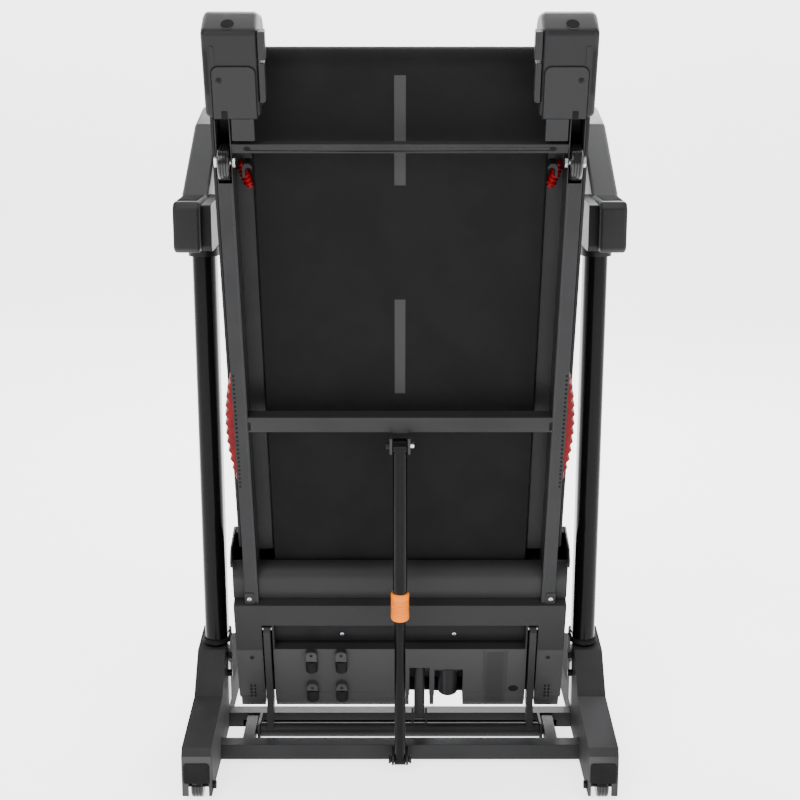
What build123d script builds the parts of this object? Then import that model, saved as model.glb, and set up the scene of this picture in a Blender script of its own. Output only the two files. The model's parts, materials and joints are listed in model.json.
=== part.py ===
from build123d import *
import os
from math import atan2, cos, degrees, hypot, radians, sin

# A folding treadmill, stored upright. X is across the machine, +Y is forward (the console end),
# +Z is up. The deck is drawn flat, as U along it from the fold axis towards its rear roller and
# H above the fold axis, and then stood up. All sizes are in millimetres.

# ---------------------------------------------------------------- driving dimensions
ORIGIN_Y = -13.6          # middle of the machine's length, from the datum that the sizes below use

# fold axis and stored angle
FOLD_Y = -30.0
FOLD_Z = 26.0
FOLD_ANGLE = 71.8         # deck above horizontal when stored
FOLD_PIN_R = 6.0
PIN_CLIP = 2.5
RUN_FIT = 0.05            # radial clearance of a pin in its bore
GAP = 0.3                 # gap between neighbours that move past each other

# base
FOOT_X = 341.0            # middle of each foot
FOOT_WIDTH = 50.0
FOOT_REAR = -250.0
FOOT_FRONT = 376.0
COVER_WALL = 3.0
FOOT_TUBE_W = 38.0
FOOT_TUBE_Z0 = 10.0
FOOT_TUBE_Z1 = 50.0
FOOT_TUBE_REAR = FOOT_REAR + 52
CROSS_Z0 = 8.0
CROSS_Z1 = 36.0
REAR_TUBE_Y = -99.0
MIDDLE_TUBE_Y = 34.0
FRONT_TUBE_Y = 340.0
CROSS_DEPTH = 30.0
TUBE_WALL = 2.0
TIE_X = 271.0
TIE_W = 20.0
LUG_X = 253.0
LUG_T = 5.0

# transport wheels
TRANSPORT_R = 20.0
TRANSPORT_W = 20.0
TRANSPORT_Y = FOOT_REAR + 19
AXLE_R = 4.0

# uprights, arms and console
UPRIGHT_X = 335.0
UPRIGHT_W = 40.0
UPRIGHT_D = 66.0
UPRIGHT_WALL = 2.0
UPRIGHT_FOOT_Y = 37.0
UPRIGHT_TOP_Y = 10.0
UPRIGHT_TOP_Z = 905.0
COLLAR_H = 16.0
ARM_IN = 327.0
ARM_OUT = 372.0
ARM_ROUND = 6.0
BLOCK_IN = 311.0
CONSOLE_HALF = ARM_IN
CROSSBAR_R = 15.0
FACE_LOW = (206.0, UPRIGHT_TOP_Z + 181)
FACE_HIGH = (286.0, UPRIGHT_TOP_Z + 307)
BUTTON_R = 9.0
BUTTON_TRAVEL = 1.5
CUP_R = 38.0
CUP_X = 245.0
CUP_Y = 158.0

# deck frame
RAIL_IN = 247.0
RAIL_OUT = 270.0
RAIL_H0 = 36.0
RAIL_H1 = 94.0
RAIL_U0 = 42.0
RAIL_U1 = 1199.0
RAIL_WALL = 1.5
REAR_BAR_U = (RAIL_U1 - 98, RAIL_U1 - 84)
REAR_BAR_H = (36.0, 50.0)
MIDDLE_BAR_U = (617.0, 645.0)
MIDDLE_BAR_H = (36.0, 58.0)
DECK_WHEEL_U = RAIL_U1 - 114.5
DECK_WHEEL_H = 44.0
DECK_WHEEL_R = 27.0
DECK_WHEEL_W = 17.0
DECK_AXLE_R = 5.0

# belt, rollers and board
ROLLER_H = 101.0
ROLLER_R = 22.7
BELT_T = 2.0
FRONT_ROLLER_U = 290.0
REAR_ROLLER_U = RAIL_U1 + 15
BELT_HALF = 219.0
ROLLER_HALF = 224.0
SHAFT_R = 8.0
BOARD_T = 18.0
BOARD_HALF = 244.0
BOARD_U = (330.0, RAIL_U1 - 19)
FLANGE_IN = 223.0
FOOT_RAIL_OUT = 281.0
FOOT_RAIL_U = (352.0, RAIL_U1 - 47)
FOOT_RAIL_TOP = 138.0

# motor bay
PAN_HALF = 291.0
HOOD_HALF = 294.0
SKIN = 3.0
HOOD_TOP = 196.0
PAN_SPLIT_H = 66.0        # where the pan's wall meets the hood
CHANNEL = (226.0, 244.0)  # the lift arms' channels in the pan
MOTOR_U = 170.0
MOTOR_H = 128.0
MOTOR_R = 44.0
PULLEY_X = (228.0, 242.0)
DRIVE_PULLEY_R = 14.0
ROLLER_PULLEY_R = 22.0
DRIVE_BELT_T = 3.0
POWER_H = 112.0
INLET_X = 180.0
INLET_SIZE = (30.0, 22.0)
SWITCH_X = 225.0
SWITCH_U = 39.0
SWITCH_SIZE = (14.0, 22.0)

# lift frame
ARM_X = (229.0, 241.0)
INCLINE_U = 203.0
INCLINE_H = 42.0
INCLINE_PIN_R = 5.0
PIVOT_TUBE_R = 13.0
PIVOT_TUBE_HALF = 252.0

# strut
STRUT_FOOT = (-142.0, 22.0)
STRUT_EYE_U = 596.4
STRUT_EYE_H = 28.0
STRUT_ROD_R = 9.5
STRUT_TUBE_R = 12.0
STRUT_PIN_R = 5.0
COLLAR_LOW = 270.0        # locking collar, up the strut from its foot pin
COLLAR_LEN = 50.0
COLLAR_R = 15.5

# incline actuator
ACTUATOR_X = 35.0
ACTUATOR_TOP = (150.0, 64.0)
ACTUATOR_FOOT = (26.0, 14.0)
ACTUATOR_TUBE_R = 9.5
ACTUATOR_PIN_R = 4.0
ACTUATOR_MOTOR_X = 87.0
ACTUATOR_MOTOR_R = 18.0
ACTUATOR_MOTOR_H = 54.0

parts = {}


# ---------------------------------------------------------------- helpers
def box(x, y, z):
    """A box between two values on each axis."""
    size = [b - a for a, b in (x, y, z)]
    middle = [(a + b) / 2 for a, b in (x, y, z)]
    return Pos(*middle) * Box(*size)


def flat_box(x, u, h):
    """A box on the flat deck."""
    return box(x, (-u[1], -u[0]), h)


def both_sides(shape):
    """A shape and its mirror image across the machine's middle plane."""
    return shape + mirror(shape, Plane.YZ)


def rod_x(radius, x, y, z):
    """A round bar along X between two X values."""
    middle = Pos((x[0] + x[1]) / 2, y, z)
    return middle * Rot(0, 90, 0) * Cylinder(radius, x[1] - x[0])


def flat_rod(radius, x, u, h):
    """A round bar along X on the flat deck."""
    return rod_x(radius, x, -u, h)


def side_plate(points, x, radius=0.0, corners=None):
    """A side profile given as (Y, Z) points, made solid between two X values."""
    face = make_face(Polyline(*points, close=True))
    if radius:
        chosen = face.vertices()
        if corners is not None:
            chosen = [v for v in chosen if any(hypot(v.X - points[i][0], v.Y - points[i][1]) < 0.01 for i in corners)]
        face = fillet(chosen, radius)
    solid = extrude(face, x[1] - x[0])
    return Pos(x[0], 0, 0) * Rot(0, 90, 0) * Rot(0, 0, 90) * solid


def flat_plate(points, x, radius=0.0, corners=None):
    """A side profile on the flat deck, given as (U, H) points."""
    return side_plate([(-u, h) for u, h in points], x, radius, corners)


def stand(shape):
    """Turn a shape drawn on the flat deck to its stored place."""
    return Pos(0, FOLD_Y, FOLD_Z) * Rot(-FOLD_ANGLE, 0, 0) * shape


def stand_point(u, h):
    """Where a point of the flat deck is when stored, as (Y, Z)."""
    a = radians(FOLD_ANGLE)
    return FOLD_Y - u * cos(a) + h * sin(a), FOLD_Z + u * sin(a) + h * cos(a)


def keep(name, shape):
    """Store a finished node at its place in the machine's frame."""
    parts[name] = Pos(0, -ORIGIN_Y, 0) * shape


def keep_group(name, shapes):
    """Store a node made of several separate solids."""
    placed = [Pos(0, -ORIGIN_Y, 0) * s for shape in shapes for s in shape.solids()]
    parts[name] = Compound(placed)


def sides(name, shape):
    """Store a piece drawn on the right side, and its mirror image on the left."""
    keep("right_" + name, shape)
    keep("left_" + name, mirror(shape, Plane.YZ))


def square_tube(x, y, z, wall, along):
    """A closed-section tube, hollow from end to end along one axis."""
    spans = [x, y, z]
    inner = []
    for axis, (a, b) in enumerate(spans):
        inner.append((a - 1, b + 1) if axis == along else (a + wall, b - wall))
    return box(x, y, z) - box(*inner)


def hex_head(radius, height):
    """A bolt head or nut standing on the XY plane."""
    return extrude(RegularPolygon(radius, 6), height)


# ---------------------------------------------------------------- base frame
def foot_tubes():
    half = FOOT_TUBE_W / 2
    y = (FOOT_TUBE_REAR, FOOT_FRONT - 30)
    tube = square_tube((FOOT_X - half, FOOT_X + half), y, (FOOT_TUBE_Z0, FOOT_TUBE_Z1), TUBE_WALL, 1)
    keep_group("foot_tubes", [both_sides(tube)])


def cross_tube(y, half):
    depth = CROSS_DEPTH / 2
    return square_tube((-half, half), (y - depth, y + depth), (CROSS_Z0, CROSS_Z1), TUBE_WALL, 0)


def strut_lug():
    """Two ears and the pin that carry the strut's foot."""
    rear_face = REAR_TUBE_Y - CROSS_DEPTH / 2
    y, z = STRUT_FOOT
    ear = box((10.5, 14.5), (y, rear_face), (z - 10, z + 10)) + rod_x(10, (10.5, 14.5), y, z)
    pin = rod_x(STRUT_PIN_R, (-16, 16), y, z)
    head = Pos(16, y, z) * Rot(0, 90, 0) * hex_head(8, 4)
    nut = Pos(-20, y, z) * Rot(0, 90, 0) * hex_head(8, 4)
    return both_sides(ear) + pin + head + nut


def cross_tubes():
    half = FOOT_X - FOOT_TUBE_W / 2
    keep("rear_cross_tube", cross_tube(REAR_TUBE_Y, half) + strut_lug())
    keep("middle_cross_tube", cross_tube(MIDDLE_TUBE_Y, half) + pivot_lugs())
    keep("front_cross_tube", cross_tube(FRONT_TUBE_Y, half))


def pivot_lugs():
    """Ears on the middle cross tube that hold the fold pins."""
    y1 = MIDDLE_TUBE_Y - CROSS_DEPTH / 2
    x = (LUG_X, LUG_X + LUG_T)
    points = [(y1, CROSS_Z0 + 1), (y1, CROSS_Z1), (FOLD_Y + 6, FOLD_Z + 14), (FOLD_Y - 8, FOLD_Z + 14),
              (FOLD_Y - 15, FOLD_Z + 4), (FOLD_Y - 15, CROSS_Z0 + 6), (FOLD_Y - 8, CROSS_Z0 + 1)]
    ear = side_plate(points, x) - rod_x(FOLD_PIN_R, (x[0] - 1, x[1] + 1), FOLD_Y, FOLD_Z)
    return both_sides(ear)


def frame_ties():
    """Tubes that join the rear and middle cross tubes, with the gussets at the feet."""
    y = (REAR_TUBE_Y + CROSS_DEPTH / 2, MIDDLE_TUBE_Y - CROSS_DEPTH / 2)
    tie = square_tube((TIE_X - TIE_W / 2, TIE_X + TIE_W / 2), y, (CROSS_Z0 + 2, CROSS_Z1 - 3), TUBE_WALL, 1)
    keep_group("frame_ties", [both_sides(tie)])


def fold_pin():
    """A headed pin through a pivot lug into the end of the pivot tube."""
    x = (PIVOT_TUBE_HALF - 14, LUG_X + LUG_T)
    pin = rod_x(FOLD_PIN_R, x, FOLD_Y, FOLD_Z)
    return pin + Pos(x[1] + PIN_CLIP / 2, FOLD_Y, FOLD_Z) * Rot(0, 90, 0) * Cylinder(9, PIN_CLIP)


def cover_outline():
    """The side profile of a foot cover: low toe, sloping top, shroud round the upright."""
    return [(FOOT_REAR, 8), (FOOT_REAR, 80), (FOOT_REAR + 10, 92), (-74, 110), (-10, 172), (84, 182), (96, 172),
            (100, 64), (FOOT_FRONT - 12, 56), (FOOT_FRONT, 44), (FOOT_FRONT, 8)]


def foot_covers():
    half = FOOT_WIDTH / 2
    outer_x = (FOOT_X - half, FOOT_X + half)
    inner_x = (outer_x[0] + COVER_WALL, outer_x[1] - COVER_WALL)
    outline = cover_outline()
    outer = side_plate(outline, outer_x)
    w = COVER_WALL
    inner = [(FOOT_REAR + w, 7), (FOOT_REAR + w, 79), (FOOT_REAR + 11, 89), (-72, 107), (-8, 169), (82, 179),
             (93, 170), (97, 61), (FOOT_FRONT - 13, 53), (FOOT_FRONT - w, 43), (FOOT_FRONT - w, 7)]
    shell = outer - side_plate(inner, inner_x)
    shell -= upright_bar(GAP)
    mouth = box((FOOT_X - 20, FOOT_X + 14), (FOOT_REAR - 1, FOOT_REAR + 8), (7, 40))
    shell -= mouth
    shell -= rod_x(AXLE_R, (outer_x[0] - 1, outer_x[1] - COVER_WALL), TRANSPORT_Y, TRANSPORT_R)
    shell -= cross_tube_notches()
    return shell


def cross_tube_notches():
    """Openings in a cover's inner wall where the cross tubes reach the foot tube."""
    x = (FOOT_X - FOOT_WIDTH / 2 - 1, FOOT_X - FOOT_TUBE_W / 2)
    d = CROSS_DEPTH / 2 + GAP
    cuts = None
    for y in (REAR_TUBE_Y, MIDDLE_TUBE_Y, FRONT_TUBE_Y):
        cut = box(x, (y - d, y + d), (0, CROSS_Z1 + GAP))
        cuts = cut if cuts is None else cuts + cut
    return cuts


def upright_axis():
    return (UPRIGHT_TOP_Y - UPRIGHT_FOOT_Y) / (UPRIGHT_TOP_Z - FOOT_TUBE_Z1)


def upright_bar(grow=0.0, hollow=False):
    """An upright as a leaning oval bar standing on its foot tube."""
    width = UPRIGHT_W + 2 * grow
    depth = UPRIGHT_D + 2 * grow
    if hollow:
        width -= 2 * UPRIGHT_WALL
        depth -= 2 * UPRIGHT_WALL
    low = FOOT_TUBE_Z1
    high = UPRIGHT_TOP_Z
    section = Rot(0, 0, 90) * SlotOverall(depth, width)
    bottom = Pos(UPRIGHT_X, UPRIGHT_FOOT_Y, low) * section
    top = Pos(UPRIGHT_X, UPRIGHT_TOP_Y, high) * section
    return loft([bottom.face(), top.face()])


def uprights():
    sides("upright", upright_bar() - upright_bar(hollow=True))


def transport_wheel():
    x = (FOOT_X - TRANSPORT_W / 2, FOOT_X + TRANSPORT_W / 2)
    wheel = rod_x(TRANSPORT_R, x, TRANSPORT_Y, TRANSPORT_R)
    wheel = fillet(wheel.edges().filter_by(GeomType.CIRCLE), 3)
    return wheel - rod_x(AXLE_R + RUN_FIT, (x[0] - 1, x[1] + 1), TRANSPORT_Y, TRANSPORT_R)


def base_fasteners():
    """Transport wheel axles, fold pins and the bolts that clamp the uprights."""
    inner = FOOT_X - FOOT_WIDTH / 2
    outer = FOOT_X + FOOT_WIDTH / 2
    axle = rod_x(AXLE_R, (inner - 2, outer - COVER_WALL), TRANSPORT_Y, TRANSPORT_R)
    axle += Pos(inner, TRANSPORT_Y, TRANSPORT_R) * Rot(0, -90, 0) * hex_head(7.5, 6)
    bolts = []
    for z in (118, 152):
        y = UPRIGHT_FOOT_Y + upright_axis() * (z - FOOT_TUBE_Z1) - 22
        head = Pos(UPRIGHT_X - UPRIGHT_W / 2, y, z) * Rot(0, -90, 0) * hex_head(7, 8)
        bolts.append(head)
    keep_group("base_fasteners", [both_sides(piece) for piece in [axle, fold_pin()] + bolts])


def floor_feet():
    """Rubber feet under the foot tubes."""
    pads = []
    for x in (-FOOT_X, FOOT_X):
        for y in (-140, 300):
            pad = Pos(x, y, FOOT_TUBE_Z0 / 2) * Cylinder(15, FOOT_TUBE_Z0)
            pads.append(chamfer(pad.edges().group_by(Axis.Z)[0], 2))
    keep_group("floor_feet", pads)


# ---------------------------------------------------------------- arms and console
def arm_outline():
    """The side profile of an arm: grip block at the rear, rising to the console."""
    top = UPRIGHT_TOP_Z
    return [(-106, top + 7), (-106, top + 73), (-96, top + 84), (8, top + 85), (205, top + 195),
            (322, top + 221), (340, top + 207), (344, top + 161), (225, top + 125), (70, top), (-98, top)]


def handrail():
    arm = side_plate(arm_outline(), (ARM_IN, ARM_OUT))
    arm = fillet(arm.edges(), ARM_ROUND)
    top = UPRIGHT_TOP_Z
    block = side_plate([(-84, top + 9), (-84, top + 77), (52, top + 83), (60, top), (-76, top)],
                       (BLOCK_IN, ARM_IN), 4)
    shape = arm + block
    collar_low = UPRIGHT_TOP_Z - COLLAR_H
    ring = Pos(UPRIGHT_X, UPRIGHT_TOP_Y, collar_low) * extrude(
        Rot(0, 0, 90) * SlotOverall(UPRIGHT_D + 14, UPRIGHT_W + 12), COLLAR_H)
    return shape + (ring - upright_bar())


def face_frame():
    """The console's display face: its middle, and how far it leans back."""
    dy = FACE_HIGH[0] - FACE_LOW[0]
    dz = FACE_HIGH[1] - FACE_LOW[1]
    middle = ((FACE_LOW[0] + FACE_HIGH[0]) / 2, (FACE_LOW[1] + FACE_HIGH[1]) / 2)
    return middle, degrees(atan2(dz, dy))


def on_face(shape):
    """Put a shape on the display face: its X across, its Y up the face, its +Z out of the face."""
    (y, z), lean = face_frame()
    return Pos(0, y, z) * Rot(lean, 0, 0) * shape


def console_outline(inset):
    top = UPRIGHT_TOP_Z
    return [(118 + inset, top + 147 + inset), (118 + inset, top + 171 - inset), (126 + inset, top + 179 - inset),
            (FACE_LOW[0] + inset * 0.5, FACE_LOW[1] - inset),
            (FACE_HIGH[0] + inset, FACE_HIGH[1] - inset), (300, top + 315 - inset), (322 - inset, top + 311 - inset),
            (340 - inset, top + 231), (340 - inset, top + 207 + inset), (215, top + 147 + inset)]


BUTTONS = {
    "start_button": (-52, -50),
    "stop_button": (52, -50),
    "speed_up_button": (108, -38),
    "speed_down_button": (108, -61),
    "incline_up_button": (-108, -38),
    "incline_down_button": (-108, -61),
}


def display_plate():
    return on_face(Pos(0, 20, -0.75) * Box(330, 86, 1.5))


def console():
    half = CONSOLE_HALF
    body = side_plate(console_outline(0), (-half, half))
    body -= side_plate(console_outline(SKIN), (-half + SKIN, half - SKIN))
    body -= display_plate()
    for x, y in BUTTONS.values():
        body -= on_face(Pos(x, y, -2) * Cylinder(BUTTON_R + GAP, 12))
    body -= on_face(Pos(0, -52, -2) * Box(22 + 2 * GAP, 10 + 2 * GAP, 12))
    for x in (-CUP_X, CUP_X):
        body += Pos(x, CUP_Y, UPRIGHT_TOP_Z + 127) * Cylinder(CUP_R + SKIN, 100)
        body -= Pos(x, CUP_Y, UPRIGHT_TOP_Z + 134) * Cylinder(CUP_R, 108)
    keep("console_housing", body)
    keep("console_display", display_plate())
    for name, (x, y) in BUTTONS.items():
        cap = Pos(x, y, -1.5) * Cylinder(BUTTON_R, 9)
        keep(name, on_face(fillet(cap.edges().group_by(Axis.Z)[-1], 1)))
    key = Pos(0, -52, -1) * Box(22, 10, 8) + Pos(0, -52, 6) * Box(34, 22, 6)
    keep("safety_key", on_face(fillet(key.edges().group_by(Axis.Z)[-1], 2)))


def console_crossbar():
    """The tube under the console that joins the two arms, touching the console's sloping underside."""
    (y0, z0), (y1, z1) = console_outline(0)[-1], console_outline(0)[-2]
    slope = atan2(z1 - z0, y1 - y0)
    along = 50
    y = y0 + along * cos(slope) + (CROSSBAR_R + GAP) * sin(slope)
    z = z0 + along * sin(slope) - (CROSSBAR_R + GAP) * cos(slope)
    tube = rod_x(CROSSBAR_R, (-ARM_IN, ARM_IN), y, z)
    return tube - rod_x(CROSSBAR_R - 2, (-ARM_IN - 1, ARM_IN + 1), y, z)


# ---------------------------------------------------------------- deck frame
def rail():
    x = (RAIL_IN, RAIL_OUT)
    h = (RAIL_H0, RAIL_H1)
    w = RAIL_WALL
    tube = flat_box(x, (RAIL_U0, RAIL_U1), h)
    tube -= flat_box((x[0] + w, x[1] - w), (RAIL_U0 - 1, RAIL_U1 + 1), (h[0] + w, h[1] - w))
    slot = (DECK_WHEEL_U - DECK_WHEEL_R - 4, RAIL_U1 + 1)
    tube -= flat_box((x[0] + w, x[1] - w), slot, (h[0] - 1, h[0] + w + 1))
    tube -= flat_rod(DECK_AXLE_R, (x[0] - 1, x[1] + 1), DECK_WHEEL_U, DECK_WHEEL_H)
    flange = flat_box((FLANGE_IN, RAIL_IN), (BOARD_U[0] + 10, BOARD_U[1] - 10), (RAIL_H1 - 2, RAIL_H1))
    plates = None
    for u in (FRONT_ROLLER_U, REAR_ROLLER_U):
        toe = u - 30 if u < 600 else RAIL_U1 - 12
        plate = flat_box((RAIL_IN, RAIL_IN + 5), (toe, u + 22), (RAIL_H1, ROLLER_H + 18))
        if u > 600:
            plate += flat_box((RAIL_IN, RAIL_IN + 5), (RAIL_U1, u + 22), (ROLLER_H - 18, RAIL_H1))
        plate -= flat_rod(SHAFT_R, (RAIL_IN - 1, RAIL_IN + 6), u, ROLLER_H)
        tube += plate
    tube -= flat_rod(SHAFT_R, (RAIL_IN - 1, RAIL_IN + 6), FRONT_ROLLER_U, ROLLER_H)
    return stand(tube + flange)


def crossbars():
    half = RAIL_IN
    rear = flat_box((-half, half), REAR_BAR_U, REAR_BAR_H)
    rear -= flat_box((-half - 1, half + 1), (REAR_BAR_U[0] + 1.5, REAR_BAR_U[1] - 1.5),
                     (REAR_BAR_H[0] + 1.5, REAR_BAR_H[1] - 1.5))
    for x in (-224, 224):
        rear -= flat_hole(x, sum(REAR_BAR_U) / 2, 2.5, REAR_BAR_H[0] - 1, REAR_BAR_H[0] + 3)
    keep("rear_crossbar", stand(rear))
    middle = flat_box((-half, half), MIDDLE_BAR_U, MIDDLE_BAR_H)
    middle -= flat_box((-half - 1, half + 1), (MIDDLE_BAR_U[0] + 2, MIDDLE_BAR_U[1] - 2),
                       (MIDDLE_BAR_H[0] + 2, MIDDLE_BAR_H[1] - 2))
    keep("middle_crossbar", stand(middle + strut_bracket()))
    low = MOTOR_H - MOTOR_R
    mount = None
    for u, drop in (((60, 82), 10), ((228, 254), 20)):
        bar = flat_box((-half, half), u, (low - drop, low))
        bar -= flat_box((-half - 1, half + 1), (u[0] + 2, u[1] - 2), (low - drop + 2, low - 2))
        mount = bar if mount is None else mount + bar
    mount += flat_box((-200, -10), (82, 228), (low - 4, low))
    mount += flat_box((12, 58), (60, 254), (low, low + 4)) + actuator_hanger(low)
    keep("motor_mount", stand(mount))


def actuator_hanger(top):
    """Two ears and a pin that carry the actuator's gearbox."""
    u, h = ACTUATOR_TOP
    ears = None
    for x in (ACTUATOR_X - 19.5, ACTUATOR_X + 15.5):
        ear = flat_box((x, x + 4), (u - 8, u + 8), (h - 8, top + 1))
        ears = ear if ears is None else ears + ear
    return ears + flat_rod(ACTUATOR_PIN_R, (ACTUATOR_X - 19.5, ACTUATOR_X + 19.5), u, h)


def flat_hole(x, u, radius, h0, h1):
    return Pos(x, -u, (h0 + h1) / 2) * Cylinder(radius, h1 - h0)


def strut_bracket():
    """Two ears and a top plate under the middle crossbar, with a stub bolt in each ear."""
    top = MIDDLE_BAR_U[0]
    x = (STRUT_TUBE_R + 1.0, STRUT_TUBE_R + 5.0)
    h = (STRUT_EYE_H - 12, MIDDLE_BAR_H[0] + 6)
    ear = flat_box(x, (STRUT_EYE_U - 10, top), h)
    plate = flat_box((-x[1], x[1]), (top - 2, top), (MIDDLE_BAR_H[0], h[1]))
    bolt = Pos(x[1], -STRUT_EYE_U, STRUT_EYE_H) * Rot(0, 90, 0) * hex_head(6, 6)
    return both_sides(ear + bolt) + plate


# ---------------------------------------------------------------- belt, rollers, board
def capsule(radius, half):
    """The loop that the belt follows, as a solid bar."""
    low = ROLLER_H - radius
    high = ROLLER_H + radius
    solid = flat_box((-half, half), (FRONT_ROLLER_U, REAR_ROLLER_U), (low, high))
    for u in (FRONT_ROLLER_U, REAR_ROLLER_U):
        solid += flat_rod(radius, (-half, half), u, ROLLER_H)
    return solid


def walking_belt():
    inner = ROLLER_R + GAP
    return stand(capsule(inner + BELT_T, BELT_HALF) - capsule(inner, BELT_HALF + 1))


def running_board():
    top = ROLLER_H + ROLLER_R + GAP
    board = flat_box((-BOARD_HALF, BOARD_HALF), BOARD_U, (top - BOARD_T, top))
    return stand(board)


def board_cushions():
    """Rubber blocks between the rail flanges and the board."""
    top = ROLLER_H + ROLLER_R + GAP - BOARD_T
    blocks = []
    for x in (-233, 233):
        for u in (400, 620, 840, 1060):
            blocks.append(stand(Pos(x, -u, (RAIL_H1 + top) / 2) * Cylinder(9, top - RAIL_H1)))
    keep_group("board_cushions", blocks)


def roller(u):
    """A roller tube with a bearing disc at each end."""
    tube = flat_rod(ROLLER_R, (-ROLLER_HALF, ROLLER_HALF), u, ROLLER_H)
    tube -= flat_rod(ROLLER_R - 3, (-ROLLER_HALF + 12, ROLLER_HALF - 12), u, ROLLER_H)
    return tube


def rollers():
    bore = (-ROLLER_HALF - 30, ROLLER_HALF + 30)
    rear = roller(REAR_ROLLER_U) - flat_rod(SHAFT_R + RUN_FIT, bore, REAR_ROLLER_U, ROLLER_H)
    keep("rear_roller", stand(rear))
    front = roller(FRONT_ROLLER_U)
    front += flat_rod(ROLLER_PULLEY_R, (ROLLER_HALF, PULLEY_X[1]), FRONT_ROLLER_U, ROLLER_H)
    front -= flat_rod(SHAFT_R + RUN_FIT, bore, FRONT_ROLLER_U, ROLLER_H)
    keep("front_roller", stand(front))
    shafts = []
    for u in (FRONT_ROLLER_U, REAR_ROLLER_U):
        shafts.append(stand(flat_rod(SHAFT_R, (-RAIL_IN - 5, RAIL_IN + 5), u, ROLLER_H)))
    keep_group("roller_shafts", shafts)


def foot_rail():
    """The side step: a top plate with an outer skirt and two ribs."""
    top = FOOT_RAIL_TOP
    board_top = ROLLER_H + ROLLER_R + GAP
    u = FOOT_RAIL_U
    rail_top = flat_box((BELT_HALF + 2, FOOT_RAIL_OUT), u, (top - 5, top))
    rail_top = fillet(rail_top.edges().filter_by(Axis.Y).group_by(Axis.Z)[-1], 2)
    skirt = flat_box((FOOT_RAIL_OUT - 4, FOOT_RAIL_OUT), u, (82, top - 3))
    inner = flat_box((BELT_HALF + 2, BELT_HALF + 6), u, (board_top, top - 4))
    seat = flat_box((256, 260), u, (RAIL_H1, top - 4))
    return stand(rail_top + skirt + inner + seat)


def side_trims():
    """Ribbed elastomer bumpers on the outside of the rails."""
    length = 226
    mid = 604 + 13
    proud = 15
    radius = (length ** 2 / 4 + proud ** 2) / (2 * proud)
    lens = Pos(RAIL_OUT + proud - radius, -mid, 66) * Cylinder(radius, 40)
    lens &= flat_box((RAIL_OUT, RAIL_OUT + proud + 1), (mid - length / 2, mid + length / 2), (46, 80))
    keep_group("side_trims", [stand(both_sides(lens))])


def rear_dampers():
    """Slanted elastomer buffers between the rails and the belt's edges, under the rail flanges."""
    width = RAIL_IN - BELT_HALF - 11
    middle = (RAIL_IN + BELT_HALF) / 2
    h = (RAIL_H1 - 22, RAIL_H1 - 2 - GAP)
    outer = (middle + 4.25, DECK_WHEEL_U - 18.5 - width / 2)
    inner = (middle - 4.25, DECK_WHEEL_U - 52.5 + width / 2)
    length = hypot(outer[0] - inner[0], outer[1] - inner[1]) + width
    angle = degrees(atan2(inner[1] - outer[1], outer[0] - inner[0]))
    block = extrude(Rot(0, 0, angle) * SlotOverall(length, width), h[1] - h[0])
    link = Pos((outer[0] + inner[0]) / 2, -(outer[1] + inner[1]) / 2, h[0]) * block
    keep_group("rear_dampers", [stand(both_sides(link))])


def end_cap():
    """The rear corner cover, a shell round the roller's end with a fixing plate below."""
    w = SKIN
    end = RAIL_U1
    outer = [(end - 43, 30), (end + 87, 30), (end + 98, 72), (end + 98, 84), (end + 85, 120), (end + 69, 138),
             (end - 43, 142)]
    inner = [(end - 44, 33), (end + 84.5, 33), (end + 95, 73), (end + 95, 83), (end + 82, 118), (end + 67, 135),
             (end - 44, 139)]
    x = (200.0, FOOT_RAIL_OUT)
    shell = flat_plate(outer, x, 4, (1, 2, 3, 4, 5))
    shell -= flat_plate(inner, (x[0] - 1, x[1] - w))
    cheek = [(end - 43, 30), (end + 87, 30), (end + 96, 64.5), (end - 43, 66)]
    shell += flat_plate(cheek, (x[0], x[0] + w))
    shell -= Pos(244, -(end + 91), 46) * Rot(90, 0, 0) * Cylinder(10, 30)
    return stand(shell)


def deck_wheel():
    middle = (RAIL_IN + RAIL_OUT) / 2
    x = (middle - DECK_WHEEL_W / 2, middle + DECK_WHEEL_W / 2)
    wheel = flat_rod(DECK_WHEEL_R, x, DECK_WHEEL_U, DECK_WHEEL_H)
    wheel = fillet(wheel.edges().filter_by(GeomType.CIRCLE), 3)
    wheel -= flat_rod(DECK_AXLE_R + RUN_FIT, (x[0] - 1, x[1] + 1), DECK_WHEEL_U, DECK_WHEEL_H)
    return stand(wheel)


def deck_fasteners():
    """Deck wheel axles, rear adjuster bolts and incline pins."""
    pieces = []
    axle = flat_rod(DECK_AXLE_R, (RAIL_IN - 4, RAIL_OUT + 4), DECK_WHEEL_U, DECK_WHEEL_H)
    for x, turn in ((RAIL_OUT, 90), (RAIL_IN, -90)):
        axle += Pos(x, -DECK_WHEEL_U, DECK_WHEEL_H) * Rot(0, turn, 0) * hex_head(8, 4)
    pin = flat_rod(INCLINE_PIN_R, (ARM_X[0] - 2, RAIL_IN), INCLINE_U, INCLINE_H)
    for piece in (axle, pin):
        pieces.append(stand(both_sides(piece)))
    keep_group("deck_fasteners", pieces)


# ---------------------------------------------------------------- motor bay
def shell_strip(points, thickness, x):
    """A bent sheet: a run of (U, H) points with a thickness towards +H."""
    upper = [(u, h + thickness) for u, h in reversed(points)]
    return flat_plate(points + upper, x)


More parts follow.
